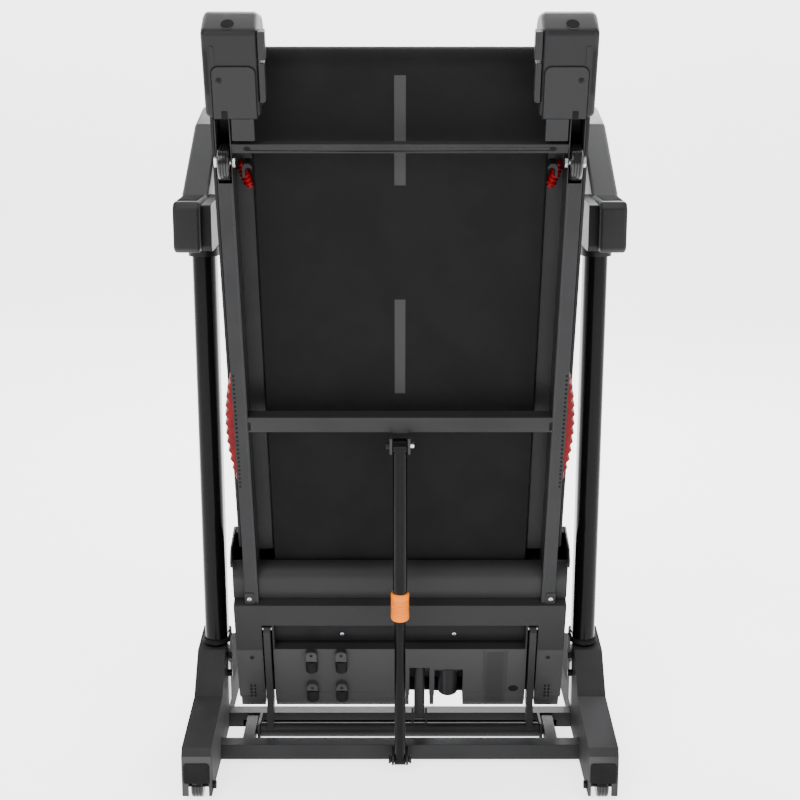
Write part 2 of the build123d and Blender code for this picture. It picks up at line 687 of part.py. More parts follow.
def motor_pan():
    """The bay's lower cover, with a raised band, a louvre recess and channels for the lift arms."""
    half = PAN_HALF
    t = SKIN
    band = [(330, 70), (328, 58), (318, 46), (306, 42), (272, 42), (266, 46), (262, 30), (256, 28), (219, 28)]
    pan = shell_strip(band, t, (-half, half))
    centre = [(219, 28), (212, 50), (168, 50), (164, 30), (58, 30), (46, 40), (40, 62)]
    pan += shell_strip(centre, t, (-CHANNEL[0], CHANNEL[0]))
    side = [(219, 28), (58, 28), (46, 36), (40, 62)]
    pan += both_sides(shell_strip(side, t, (CHANNEL[1], half)))
    wall = flat_plate([(330, 70), (328, 58), (318, 46), (306, 42), (272, 42), (266, 46), (262, 30), (256, 28),
                       (58, 28), (46, 36), (40, 62), (40, PAN_SPLIT_H), (330, 73)], (half - t, half))
    pan += both_sides(wall)
    for x in ((CHANNEL[0] - t, CHANNEL[0]), (CHANNEL[1], RAIL_IN)):
        pan += both_sides(flat_box(x, (42, 219), (30, 62)))
    pan += both_sides(flat_box((CHANNEL[0] - t, RAIL_IN), (42, 222), (60, 63)))
    pan -= both_sides(flat_box((RAIL_IN - GAP, RAIL_OUT + GAP), (30, 340), (RAIL_H0 - GAP, RAIL_H1 + GAP)))
    pan -= both_sides(flat_rod(INCLINE_PIN_R + GAP, (CHANNEL[1] - 1, RAIL_IN + 1), INCLINE_U, INCLINE_H))
    pan -= flat_box((17, 53), (36, 120), (20, 60))
    pan -= flat_box((62, 113), (36, 116), (20, 58))
    return stand(pan)


def motor_hood():
    """The bay's upper cover: a bent roof between two flat cheeks."""
    half = HOOD_HALF
    t = SKIN
    roof = [(36, 67), (32, 96), (40, 160), (72, 190), (122, HOOD_TOP), (202, HOOD_TOP), (300, 176), (348, 148),
            (348, 129), (345, 129), (345, 146), (299, 173), (202, HOOD_TOP - t), (122, HOOD_TOP - t), (74, 187),
            (43, 158), (35, 96), (39, 67)]
    cheek = [(36, 67), (32, 96), (40, 160), (72, 190), (122, HOOD_TOP), (202, HOOD_TOP), (300, 176), (348, 148),
             (360, 130), (362, 60), (346, 44), (334, 44), (334, 67)]
    hood = flat_plate(roof, (-half, half)) + both_sides(flat_plate(cheek, (half - t, half)))
    for cut in (power_opening(INLET_X, INLET_SIZE, 0), power_opening(SWITCH_X, SWITCH_SIZE, GAP)):
        hood -= cut
    return stand(hood)


def power_opening(x, size, grow):
    """A rectangular opening through the hood's front wall."""
    return flat_box((x - size[0] / 2 - grow, x + size[0] / 2 + grow), (20, 60),
                    (POWER_H - size[1] / 2 - grow, POWER_H + size[1] / 2 + grow))


def pan_pads():
    """Rubber buffers on the pan's face."""
    pads = []
    for x in (-158, -105):
        for u in (50, 118):
            pad = Pos(x, -(u + 12), 27) * Rot(90, 0, 0) * Cylinder(10.5, 24)
            pad -= flat_box((x - 20, x + 20), (u - 5, u + 40), (30, 60))
            pads.append(stand(pad))
    keep_group("pan_pads", pads)


def drive():
    motor = flat_rod(MOTOR_R, (-190, -30), MOTOR_U, MOTOR_H)
    motor -= flat_rod(MOTOR_R - 4, (-184, -36), MOTOR_U, MOTOR_H)
    motor -= flat_rod(SHAFT_R + RUN_FIT, (-200, -20), MOTOR_U, MOTOR_H)
    keep("drive_motor", stand(motor))
    rotor = flat_rod(SHAFT_R, (-192, PULLEY_X[1]), MOTOR_U, MOTOR_H)
    rotor += flat_rod(MOTOR_R - 8, (-170, -50), MOTOR_U, MOTOR_H)
    rotor += flat_rod(52, (150, 172), MOTOR_U, MOTOR_H)
    rotor += flat_rod(DRIVE_PULLEY_R, PULLEY_X, MOTOR_U, MOTOR_H)
    keep("motor_rotor", stand(rotor))
    keep("drive_belt", stand(drive_belt_loop()))
    controller = flat_box((-215, -60), (60, 88), (92, 122))
    controller += flat_box((-215, -60), (58, 90), (88, 92))
    keep("speed_controller", stand(controller))


def drive_belt_loop():
    """A flat belt round the motor's pulley and the front roller's pulley."""
    inner = belt_wrap(GAP)
    outer = belt_wrap(GAP + DRIVE_BELT_T)
    return outer - inner


def belt_wrap(grow):
    a = Pos(-MOTOR_U, MOTOR_H) * Circle(DRIVE_PULLEY_R + grow)
    b = Pos(-FRONT_ROLLER_U, ROLLER_H) * Circle(ROLLER_PULLEY_R + grow)
    face = make_hull(a.edges() + b.edges())
    solid = extrude(face, PULLEY_X[1] - PULLEY_X[0] - 2)
    return Pos(PULLEY_X[0] + 1, 0, 0) * Rot(0, 90, 0) * Rot(0, 0, 90) * solid


def power_parts():
    """The mains inlet socket with its pins, and the rocker switch, in the hood's front wall."""
    x = (INLET_X - INLET_SIZE[0] / 2, INLET_X + INLET_SIZE[0] / 2)
    h = (POWER_H - INLET_SIZE[1] / 2, POWER_H + INLET_SIZE[1] / 2)
    inlet = flat_box(x, (30, 54), h)
    inlet -= flat_box((x[0] + 2.5, x[1] - 2.5), (20, 50), (h[0] + 2.5, h[1] - 2.5))
    for dx, dh in ((-7, -2), (7, -2), (0, 3)):
        inlet += flat_box((INLET_X + dx - 1, INLET_X + dx + 1), (40, 51), (POWER_H + dh - 2, POWER_H + dh + 2))
    keep("power_inlet", stand(inlet))
    half = (SWITCH_SIZE[0] / 2, SWITCH_SIZE[1] / 2)
    rocker = rod_x(half[1] - 1.2, (SWITCH_X - half[0], SWITCH_X + half[0]), -SWITCH_U, POWER_H)
    rocker &= flat_box((SWITCH_X - half[0], SWITCH_X + half[0]), (26, 60), (POWER_H - 20, POWER_H + 20))
    keep("power_switch", stand(rocker))


# ---------------------------------------------------------------- lift frame
def lift_frame():
    """The pivot tube with an arm up each side to the incline pins."""
    tube = flat_rod(PIVOT_TUBE_R, (-PIVOT_TUBE_HALF, PIVOT_TUBE_HALF), 0, 0)
    tube -= flat_rod(FOLD_PIN_R + RUN_FIT, (-PIVOT_TUBE_HALF - 1, PIVOT_TUBE_HALF + 1), 0, 0)
    points = [(-2, -9), (10, -10), (44, 19), (INCLINE_U + 4, 22), (INCLINE_U + 10, 30), (INCLINE_U + 10, 52),
              (INCLINE_U - 6, 54), (30, 50), (0, 11)]
    arm = flat_plate(points, ARM_X)
    arm -= flat_rod(INCLINE_PIN_R + RUN_FIT, (ARM_X[0] - 1, ARM_X[1] + 1), INCLINE_U, INCLINE_H)
    arm -= flat_rod(FOLD_PIN_R + RUN_FIT, (ARM_X[0] - 1, ARM_X[1] + 1), 0, 0)
    frame = tube + both_sides(arm) + actuator_clevis()
    return stand(frame)


def actuator_clevis():
    u, h = ACTUATOR_FOOT
    ears = None
    for x in (ACTUATOR_X - 14, ACTUATOR_X + 10.5):
        ear = flat_plate([(0, -10), (u + 6, h - 9), (u + 8, h + 6), (u - 4, h + 9), (0, 10)], (x, x + 3.5))
        ear -= flat_rod(FOLD_PIN_R + RUN_FIT, (x - 1, x + 5), 0, 0)
        ears = ear if ears is None else ears + ear
    return ears


# ---------------------------------------------------------------- strut and actuator
def strut_frame():
    """The strut's length and its lean from vertical, foot pin to eye."""
    y, z = stand_point(STRUT_EYE_U, STRUT_EYE_H)
    dy = y - STRUT_FOOT[0]
    dz = z - STRUT_FOOT[1]
    return hypot(dy, dz), degrees(atan2(-dy, dz))


def on_strut(shape):
    """Put a shape drawn along +Z on the strut, with the foot pin at its origin."""
    lean = strut_frame()[1]
    return Pos(0, STRUT_FOOT[0], STRUT_FOOT[1]) * Rot(lean, 0, 0) * shape


def post(radius, low, high):
    return Pos(0, 0, (low + high) / 2) * Cylinder(radius, high - low)


def strut():
    length = strut_frame()[0]
    eye = rod_x(9.5, (-10, 10), 0, 0)
    rod = eye + post(STRUT_ROD_R, 0, 420)
    rod -= rod_x(STRUT_PIN_R + RUN_FIT, (-11, 11), 0, 0)
    keep("strut_cylinder", on_strut(rod))
    tube = post(STRUT_TUBE_R, COLLAR_LOW + 6, length)
    tube += rod_x(STRUT_TUBE_R - 0.01, (-STRUT_TUBE_R + 1, STRUT_TUBE_R - 1), 0, length)
    tube -= post(STRUT_ROD_R + RUN_FIT, COLLAR_LOW, 530)
    keep("strut_sleeve", on_strut(tube))
    collar = post(COLLAR_R, COLLAR_LOW, COLLAR_LOW + COLLAR_LEN)
    collar = chamfer(collar.edges().filter_by(GeomType.CIRCLE), 1.5)
    collar -= post(STRUT_TUBE_R, COLLAR_LOW + 6, COLLAR_LOW + COLLAR_LEN + 1)
    collar -= post(STRUT_ROD_R + GAP, COLLAR_LOW - 1, COLLAR_LOW + 7)
    keep("locking_collar", on_strut(collar))


def actuator_frame():
    du = ACTUATOR_TOP[0] - ACTUATOR_FOOT[0]
    dh = ACTUATOR_TOP[1] - ACTUATOR_FOOT[1]
    return hypot(du, dh), degrees(atan2(dh, du))


def on_actuator(shape):
    """Put a shape drawn along +Z on the actuator, with its top pin at the origin."""
    slope = actuator_frame()[1]
    place = Pos(ACTUATOR_X, -ACTUATOR_TOP[0], ACTUATOR_TOP[1])
    return stand(place * Rot(-90 - slope, 0, 0) * shape)


def actuator():
    """Gearbox and motor on the deck, with the screw tube that pushes on the pivot tube."""
    length = actuator_frame()[0]
    gearbox = on_actuator(Pos(0, 0, 16) * Box(30, 22, 48))
    side = (ACTUATOR_X + 10, ACTUATOR_MOTOR_X + ACTUATOR_MOTOR_R)
    gearbox += stand(flat_box(side, (104, 130), (40, 66)))
    motor = Pos(ACTUATOR_MOTOR_X, -79, ACTUATOR_MOTOR_H) * Rot(90, 0, 0) * Cylinder(ACTUATOR_MOTOR_R, 60)
    gearbox += stand(motor)
    gearbox -= on_actuator(rod_x(ACTUATOR_PIN_R + RUN_FIT, (-60, 16), 0, 0))
    gearbox -= on_actuator(post(ACTUATOR_TUBE_R + RUN_FIT, 8, 41))
    keep("actuator_body", gearbox)
    tube = post(ACTUATOR_TUBE_R, 10, length)
    tube += rod_x(ACTUATOR_TUBE_R, (-9, 9), 0, length)
    keep("actuator_tube", on_actuator(tube))


# ---------------------------------------------------------------- build
def build():
    foot_tubes()
    cross_tubes()
    frame_ties()
    sides("foot_cover", foot_covers())
    uprights()
    sides("transport_wheel", transport_wheel())
    base_fasteners()
    floor_feet()
    sides("handrail", handrail())
    console()
    keep("console_crossbar", console_crossbar())
    sides("rail", rail())
    crossbars()
    keep("walking_belt", walking_belt())
    keep("running_board", running_board())
    board_cushions()
    rollers()
    sides("foot_rail", foot_rail())
    side_trims()
    rear_dampers()
    sides("end_cap", end_cap())
    sides("deck_wheel", deck_wheel())
    deck_fasteners()
    keep("motor_pan", motor_pan())
    keep("motor_hood", motor_hood())
    pan_pads()
    drive()
    power_parts()
    keep("lift_frame", lift_frame())
    strut()
    actuator()


build()
os.makedirs("parts", exist_ok=True)
for name, shape in parts.items():
    export_step(shape, "parts/" + name + ".step")
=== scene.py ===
import json
from math import atan2, cos, pi, radians, sin
import bmesh
import bpy
from mathutils import Matrix, Vector


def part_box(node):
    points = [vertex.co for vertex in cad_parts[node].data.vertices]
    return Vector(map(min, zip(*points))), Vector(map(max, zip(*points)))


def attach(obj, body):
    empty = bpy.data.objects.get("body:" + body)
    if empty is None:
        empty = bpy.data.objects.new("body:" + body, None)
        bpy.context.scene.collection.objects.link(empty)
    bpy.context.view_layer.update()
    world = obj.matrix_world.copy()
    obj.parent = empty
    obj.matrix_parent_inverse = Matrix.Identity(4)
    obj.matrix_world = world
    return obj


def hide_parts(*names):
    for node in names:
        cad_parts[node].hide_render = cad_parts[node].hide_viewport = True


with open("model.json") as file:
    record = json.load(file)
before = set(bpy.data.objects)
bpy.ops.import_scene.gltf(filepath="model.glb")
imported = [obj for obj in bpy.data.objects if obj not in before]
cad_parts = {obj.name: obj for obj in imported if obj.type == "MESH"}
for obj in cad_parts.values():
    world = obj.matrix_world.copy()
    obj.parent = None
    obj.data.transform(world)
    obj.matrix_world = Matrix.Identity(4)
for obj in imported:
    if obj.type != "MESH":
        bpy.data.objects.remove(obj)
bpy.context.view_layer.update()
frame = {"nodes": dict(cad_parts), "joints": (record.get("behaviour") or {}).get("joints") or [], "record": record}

NODES = frame["nodes"]
JOINTS = {j["name"]: j for j in frame["joints"]}
MM = 0.001
SIDES = (("left", -1), ("right", 1))


# ---------------------------------------------------------------- materials
class Surface:
    """A procedural material under construction: a Principled shader and its node tree."""

    def __init__(self, name, roughness=0.5, metallic=0.0, coat=0.0, specular=0.12):
        self.material = bpy.data.materials.new(name)
        self.material.use_nodes = True
        self.tree = self.material.node_tree
        self.shader = self.tree.nodes["Principled BSDF"]
        self.shader.inputs["Roughness"].default_value = roughness
        self.shader.inputs["Metallic"].default_value = metallic
        self.shader.inputs["Coat Weight"].default_value = coat
        self.shader.inputs["Specular IOR Level"].default_value = 0.5 if metallic else specular
        self.shader.inputs["Coat Roughness"].default_value = 0.12
        self.point = self.node("ShaderNodeTexCoord").outputs["Object"]
        self.normal = None

    def node(self, kind, **values):
        node = self.tree.nodes.new(kind)
        for key, value in values.items():
            setattr(node, key, value)
        return node

    def link(self, a, b):
        self.tree.links.new(a, b)

    def math(self, operation, a, b=0.0, c=0.0, clamp=False):
        node = self.node("ShaderNodeMath", operation=operation, use_clamp=clamp)
        for socket, value in zip(node.inputs, (a, b, c)):
            if isinstance(value, (int, float)):
                socket.default_value = value
            else:
                self.link(value, socket)
        return node.outputs[0]

    def noise(self, scale, detail=3.0, roughness=0.6, stretch=(1, 1, 1)):
        mapping = self.node("ShaderNodeMapping")
        mapping.inputs["Scale"].default_value = stretch
        self.link(self.point, mapping.inputs["Vector"])
        noise = self.node("ShaderNodeTexNoise")
        noise.inputs["Scale"].default_value = scale
        noise.inputs["Detail"].default_value = detail
        noise.inputs["Roughness"].default_value = roughness
        self.link(mapping.outputs[0], noise.inputs["Vector"])
        return noise.outputs["Fac"]

    def along(self, direction, origin=(0, 0, 0)):
        """Distance along a direction, in metres, from an origin."""
        shift = self.node("ShaderNodeVectorMath", operation="SUBTRACT")
        self.link(self.point, shift.inputs[0])
        shift.inputs[1].default_value = origin
        dot = self.node("ShaderNodeVectorMath", operation="DOT_PRODUCT")
        self.link(shift.outputs[0], dot.inputs[0])
        dot.inputs[1].default_value = direction
        return dot.outputs["Value"]

    def step(self, value, low, high):
        """0 below low and 1 above high, smooth between."""
        node = self.node("ShaderNodeMapRange", interpolation_type="SMOOTHSTEP")
        self.link(value, node.inputs["Value"])
        node.inputs["From Min"].default_value = low
        node.inputs["From Max"].default_value = high
        return node.outputs["Result"]

    def mix(self, factor, a, b):
        node = self.node("ShaderNodeMix", data_type="RGBA")
        self.link(factor, node.inputs["Factor"])
        for socket, value in ((node.inputs[6], a), (node.inputs[7], b)):
            if isinstance(value, tuple):
                socket.default_value = (*value, 1)
            else:
                self.link(value, socket)
        return node.outputs[2]

    def edges(self, low=0.52, high=0.62):
        """1 on convex edges, where paint wears."""
        return self.step(self.node("ShaderNodeNewGeometry").outputs["Pointiness"], low, high)

    def bump(self, height, strength, distance):
        node = self.node("ShaderNodeBump")
        node.inputs["Strength"].default_value = strength
        node.inputs["Distance"].default_value = distance
        self.link(height, node.inputs["Height"])
        if self.normal is not None:
            self.link(self.normal, node.inputs["Normal"])
        self.normal = node.outputs[0]
        self.link(self.normal, self.shader.inputs["Normal"])

    def vary_roughness(self, factor, low, high):
        node = self.node("ShaderNodeMapRange")
        self.link(factor, node.inputs["Value"])
        node.inputs["To Min"].default_value = low
        node.inputs["To Max"].default_value = high
        self.link(node.outputs["Result"], self.shader.inputs["Roughness"])

    def color(self, value):
        if isinstance(value, tuple):
            self.shader.inputs["Base Color"].default_value = (*value, 1)
        else:
            self.link(value, self.shader.inputs["Base Color"])


def shade(color, factor):
    """A colour made darker or lighter."""
    return tuple(c * factor for c in color)


def painted(name, color, roughness, grain, coat=0.0, metallic=0.0, specular=0.12):
    """Paint or powder coat: a soft mottle, an orange-peel grain and worn edges."""
    s = Surface(name, roughness, metallic, coat, specular)
    mottle = s.noise(9, 4)
    base = s.mix(s.step(mottle, 0.35, 0.65), shade(color, 0.88), shade(color, 1.1))
    s.color(s.mix(s.edges(), base, shade(color, 1.9)))
    s.vary_roughness(s.noise(35, 4), roughness * 0.82, roughness * 1.2)
    s.bump(s.noise(900, 2), grain, 0.0004)
    return s


def moulded(name, color, roughness, grain, speckle=1.35):
    """Moulded plastic with a fine grained skin and faint scuffs."""
    s = Surface(name, roughness)
    flecks = s.step(s.noise(1400, 1), 0.55, 0.72)
    base = s.mix(flecks, color, shade(color, speckle))
    scuffs = s.step(s.noise(24, 6, 0.75, (1, 1, 5)), 0.6, 0.78)
    s.color(s.mix(s.edges(0.53, 0.66), s.mix(scuffs, base, shade(color, 1.18)), shade(color, 1.7)))
    s.vary_roughness(s.noise(60, 3), roughness * 0.85, roughness * 1.15)
    s.bump(s.noise(1700, 2), grain, 0.0003)
    return s


def rubbery(name, color, roughness=0.75):
    """Rubber or elastomer with a dull, uneven skin."""
    s = Surface(name, roughness)
    s.color(s.mix(s.step(s.noise(30, 5), 0.4, 0.7), shade(color, 0.85), shade(color, 1.3)))
    s.vary_roughness(s.noise(45, 3), roughness * 0.85, min(1.0, roughness * 1.15))
    s.bump(s.noise(700, 3), 0.25, 0.0004)
    return s


def bare_metal(name, color, roughness, stretch):
    """Plated or ground steel with fine lines along the way it was finished."""
    s = Surface(name, roughness, 1.0)
    lines = s.noise(260, 4, 0.7, stretch)
    s.color(s.mix(s.step(lines, 0.3, 0.7), shade(color, 0.8), shade(color, 1.12)))
    s.vary_roughness(lines, roughness * 0.7, roughness * 1.4)
    s.bump(lines, 0.12, 0.0002)
    return s


# ---------------------------------------------------------------- the deck's own frame
FOLD = Vector(JOINTS["deck_fold"]["pos_m"])
FRONT = Vector(JOINTS["front_roller_spin"]["pos_m"])
REAR = Vector(JOINTS["rear_roller_spin"]["pos_m"])
ALONG = (REAR - FRONT).normalized()
ABOVE = Vector((0, ALONG.z, -ALONG.y))
DECK = Matrix((
    (1, 0, 0, FOLD.x),
    (0, -ALONG.y, ABOVE.y, FOLD.y),
    (0, -ALONG.z, ABOVE.z, FOLD.z),
    (0, 0, 0, 1)))


def on_deck(x, u, h):
    """A point of the flat deck, in millimetres from the fold axis, as a place in the frame."""
    return DECK @ Vector((x * MM, -u * MM, h * MM))


# Heights of the surfaces that details sit on, in millimetres above the fold axis.
CAP_UNDER = 30
RAIL_UNDER = 36
PAN_UNDER = 30
PAN_SIDE_UNDER = 28
PAN_RECESS = 50
HOOD_ROOF = 196
DASH_PITCH = 0.366
DASH_START = 0.6675


def belt_surface():
    """Twill-backed belt with a dashed grey centre line."""
    s = Surface("belt", 0.62, specular=0.06)
    across = s.along((1, 0, 0))
    along = s.along(tuple(ALONG), tuple(FOLD))
    twill = s.math("SINE", s.math("MULTIPLY", s.math("ADD", across, along), 2200.0))
    counter = s.math("SINE", s.math("MULTIPLY", s.math("SUBTRACT", across, along), 2200.0))
    weave = s.math("MULTIPLY", twill, counter)
    base = s.mix(s.step(s.noise(14, 4), 0.35, 0.7), (0.003, 0.003, 0.0032), (0.0045, 0.0045, 0.0047))
    base = s.mix(s.step(weave, 0.1, 0.8), base, (0.008, 0.008, 0.0084))
    inside = s.math("LESS_THAN", s.math("ABSOLUTE", across), 0.0085)
    phase = s.math("FRACT", s.math("DIVIDE", s.math("SUBTRACT", along, DASH_START), DASH_PITCH))
    dash = s.math("MULTIPLY", inside, s.math("LESS_THAN", phase, 0.47))
    faded = s.math("MULTIPLY", dash, s.math("ADD", s.math("MULTIPLY", s.step(weave, -0.6, 0.6), 0.4), 0.6))
    s.color(s.mix(faded, base, (0.036, 0.036, 0.037)))
    s.bump(weave, 0.45, 0.0004)
    s.bump(s.noise(300, 3), 0.15, 0.0004)
    return s


def cap_surface():
    """The end caps' plastic, with painted shade in the hollow along their outer edge."""
    s = moulded("cap_plastic", (0.0105, 0.0105, 0.011), 0.4, 0.25)
    base = s.shader.inputs["Base Color"].links[0].from_socket
    along = s.along(tuple(ALONG), tuple(FOLD))
    side = s.math("ABSOLUTE", s.along((1, 0, 0)))
    # painted shade: the hollow along the cap's outer edge is darkened in the colour
    scoop_shade = s.math("MULTIPLY", s.step(side, 0.2705, 0.2735), s.step(along, 1.19, 1.196))
    scoop_shade = s.math("MULTIPLY", scoop_shade, s.step(along, 1.266, 1.252))
    s.color(s.mix(scoop_shade, base, (0.002, 0.002, 0.0021)))
    return s


def pan_surface():
    """The bay's plastic, with painted light on its lower panel, painted shade in the recess, and a little painted shade
    in a shallow groove beside the motor.
    """
    s = moulded("pan_plastic", (0.014, 0.014, 0.0145), 0.44, 0.22)
    base = s.shader.inputs["Base Color"].links[0].from_socket
    along = s.along(tuple(ALONG), tuple(FOLD))
    above = s.along(tuple(ABOVE), tuple(FOLD))
    across = s.along((1, 0, 0))
    # painted light: the lower panel is made lighter, standing in for the light it catches
    lower = s.math("LESS_THAN", along, 0.163)
    base = s.mix(s.math("MULTIPLY", lower, 0.5), base, (0.045, 0.045, 0.046))
    # painted shade: the recess band behind the pan's lip is made nearly black
    recess = s.math("MULTIPLY", s.step(above, 0.042, 0.046), s.math("LESS_THAN", along, 0.216))
    recess = s.math("MULTIPLY", recess, s.math("GREATER_THAN", along, 0.1))
    # painted shade: a soft dark strip down the shallow groove beside the motor, between the ribs
    channel_shade = s.math("MULTIPLY", s.step(across, 0.148, 0.158), s.step(across, 0.194, 0.182))
    channel_shade = s.math("MULTIPLY", channel_shade, s.math("LESS_THAN", along, 0.158))
    base = s.mix(s.math("MULTIPLY", channel_shade, 0.6), base, (0.011, 0.011, 0.0115))
    s.color(s.mix(recess, base, (0.005, 0.005, 0.0055)))
    return s


SURFACES = {
    "frame_steel": painted("frame_coat", (0.0135, 0.0135, 0.014), 0.38, 0.25),
    "tube_black": painted("tube_gloss", (0.0025, 0.0025, 0.0027), 0.17, 0.04, specular=0.08),
    "cover_plastic": moulded("cover", (0.0135, 0.0135, 0.014), 0.4, 0.25),
    "belt_black": belt_surface(),
    "board_phenolic": painted("board", (0.024, 0.023, 0.022), 0.35, 0.1),
    "red_elastomer": rubbery("red_elastomer", (0.13, 0.0006, 0.002), 0.45),
    "orange_plastic": moulded("orange", (0.66, 0.15, 0.001), 0.45, 0.15, 1.1),
    "black_rubber": rubbery("rubber", (0.005, 0.005, 0.005)),
    "zinc_steel": bare_metal("zinc", (0.56, 0.56, 0.57), 0.3, (6, 1, 1)),
    "black_oxide": painted("oxide", (0.005, 0.005, 0.0052), 0.34, 0.1),
    "wheel_black": painted("wheel", (0.004, 0.004, 0.0042), 0.18, 0.06, 0.5),
    "motor_paint": painted("motor_enamel", (0.012, 0.012, 0.013), 0.35, 0.3),
    "display_lens": painted("lens", (0.004, 0.004, 0.005), 0.08, 0.02, 1.0),
    "button_grey": moulded("button", (0.24, 0.245, 0.25), 0.5, 0.2),
    "key_red": moulded("key", (0.5, 0.012, 0.014), 0.35, 0.15),
    "chrome_rod": bare_metal("chrome", (0.8, 0.8, 0.81), 0.08, (1, 1, 8)),
    "step_plastic": moulded("step", (0.014, 0.014, 0.0145), 0.6, 0.4),
    "pan_plastic": pan_surface(),
    "cap_plastic": cap_surface(),
    "foot_plastic": painted("foot", (0.026, 0.026, 0.0265), 0.6, 0.3, specular=0.02),
    # painted shade: a near-black skin laid in holes, slots, seams and screw recesses, where there is only shade
    "painted_recess_shade": rubbery("recess", (0.004, 0.004, 0.004), 0.85),
    "white_print": painted("print", (0.35, 0.35, 0.36), 0.5, 0.05),
}
MATERIALS = {k: s.material for k, s in SURFACES.items()}


# ---------------------------------------------------------------- CAD nodes
def finish_nodes():
    """Give every CAD node its material, smooth shading and softly broken edges."""
    table = {s["node"]: s["material_slot"] for s in frame["record"]["subparts"]}
    repaint = {"motor_pan": "pan_plastic", "motor_hood": "pan_plastic", "strut_cylinder": "tube_black",
               "left_foot_cover": "foot_plastic", "right_foot_cover": "foot_plastic"}
    for name, node in NODES.items():
        surface = MATERIALS[repaint.get(name, table[name])]
        node.data.materials.clear()
        node.data.materials.append(surface)
        soften(node, 0.0009)


def smooth(obj, value=True):
    for polygon in obj.data.polygons:
        polygon.use_smooth = value


def soften(obj, width, angle=35):
    """Smooth shading, with edges sharper than the angle broken by a small round."""
    if "custom_normal" in obj.data.attributes:
        obj.data.attributes.remove(obj.data.attributes["custom_normal"])
    smooth(obj)
    weld = obj.modifiers.new("weld", "WELD")
    weld.merge_threshold = 0.00002
    bevel = obj.modifiers.new("bevel", "BEVEL")
    bevel.width = width
    bevel.segments = 2
    bevel.limit_method = "ANGLE"
    bevel.angle_limit = radians(angle)
    bevel.harden_normals = True
    bevel.use_clamp_overlap = True


# ---------------------------------------------------------------- mesh pieces
def piece(name, mesh_data, place, surface, body, width=0.0006, replaces=()):
    """A mesh in millimetres, put in its place, painted, and fixed to a body."""
    verts, faces = mesh_data
    mesh = bpy.data.meshes.new(name)
    mesh.from_pydata([place @ Vector([c * MM for c in v]) for v in verts], [], faces)
    bm = bmesh.new()
    bm.from_mesh(mesh)
    bmesh.ops.recalc_face_normals(bm, faces=bm.faces)
    bm.to_mesh(mesh)
    bm.free()
    obj = bpy.data.objects.new(name, mesh)
    bpy.context.scene.collection.objects.link(obj)
    mesh.materials.append(MATERIALS[surface])
    if width:
        soften(obj, width)
    else:
        smooth(obj, False)
    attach(obj, body)
    if replaces:
        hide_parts(*replaces)
    return obj


def join(*shapes):
    """Several shapes as one mesh."""
    verts, faces = [], []
    for v, f in shapes:
        start = len(verts)
        verts += list(v)
        faces += [[i + start for i in face] for face in f]
    return verts, faces


def moved(shape, x, y, z, turn=None):
    """A shape turned, then shifted."""
    verts, faces = shape
    turn = turn or Matrix.Identity(3)
    return [tuple(turn @ Vector(v) + Vector((x, y, z))) for v in verts], faces


def lathe(profile, count=40):
    """A solid turned round +Z from (radius, height) points; zero radii close the ends."""
    verts, faces, rings = [], [], []
    for radius, height in profile:
        if radius == 0:
            rings.append([len(verts)])
            verts.append((0, 0, height))
        else:
            rings.append(list(range(len(verts), len(verts) + count)))
            verts += [(radius * cos(2 * pi * i / count), radius * sin(2 * pi * i / count), height)
                      for i in range(count)]
    for a, b in zip(rings, rings[1:]):
        for i in range(count):
            j = (i + 1) % count
            if len(a) == 1:
                faces.append([a[0], b[i], b[j]])
            elif len(b) == 1:
                faces.append([a[i], a[j], b[0]])
            else:
                faces.append([a[i], a[j], b[j], b[i]])
    return verts, faces


def prism(outline, low, high):
    """A plate from an (x, y) outline between two heights."""
    count = len(outline)
    verts = [(x, y, low) for x, y in outline] + [(x, y, high) for x, y in outline]
    faces = [list(range(count))[::-1], list(range(count, 2 * count))]
    faces += [[i, (i + 1) % count, count + (i + 1) % count, count + i] for i in range(count)]
    return verts, faces


def rounded(x0, x1, y0, y1, radii, steps=6):
    """A rectangle's outline with its own radius at each corner, from the low corner round."""
    corners = ((x0, y0, 180), (x1, y0, 270), (x1, y1, 0), (x0, y1, 90))
    points = []
    for (x, y, start), radius in zip(corners, radii):
        if radius == 0:
            points.append((x, y))
            continue
        cx = x + radius if x == x0 else x - radius
        cy = y + radius if y == y0 else y - radius
        for i in range(steps + 1):
            a = radians(start + 90 * i / steps)
            points.append((cx + radius * cos(a), cy + radius * sin(a)))
    return points


def oval(x, y, a, b, count=28):
    return [(x + a * cos(2 * pi * i / count), y + b * sin(2 * pi * i / count)) for i in range(count)]


def deck_prism(outline, low, high):
    """A plate in the deck's own frame, from an (x, u) outline, between two heights."""
    return prism([(x, -u) for x, u in outline], low, high)


def ring_plate(outer, inner, low, high):
    """A plate with a hole; both outlines have the same number of points."""
    count = len(outer)
    verts = [(x, y, z) for z in (low, high) for loop in (outer, inner) for x, y in loop]
    faces = []
    for i in range(count):
        j = (i + 1) % count
        faces.append([i, j, count + j, count + i])
        faces.append([2 * count + i, 2 * count + j, 3 * count + j, 3 * count + i])
        faces.append([i, j, 2 * count + j, 2 * count + i])
        faces.append([count + i, count + j, 3 * count + j, 3 * count + i])
    return verts, faces


def cross_screw(radius):
    """A pan-head screw with a cross recess, head up along +Z."""
    return lathe([(radius, 0), (radius, 0.5), (radius * 0.86, 1.2), (radius * 0.5, 1.6), (0, 1.75)], 24)


def screw_slots(radius):
    """Painted shade: the dark cross laid in a screw's head recess."""
    arm = radius * 0.55
    a = prism([(-arm, -0.5), (arm, -0.5), (arm, 0.5), (-arm, 0.5)], 1.2, 1.82)
    b = prism([(-0.5, -arm), (0.5, -arm), (0.5, arm), (-0.5, arm)], 1.2, 1.82)
    return join(a, b)


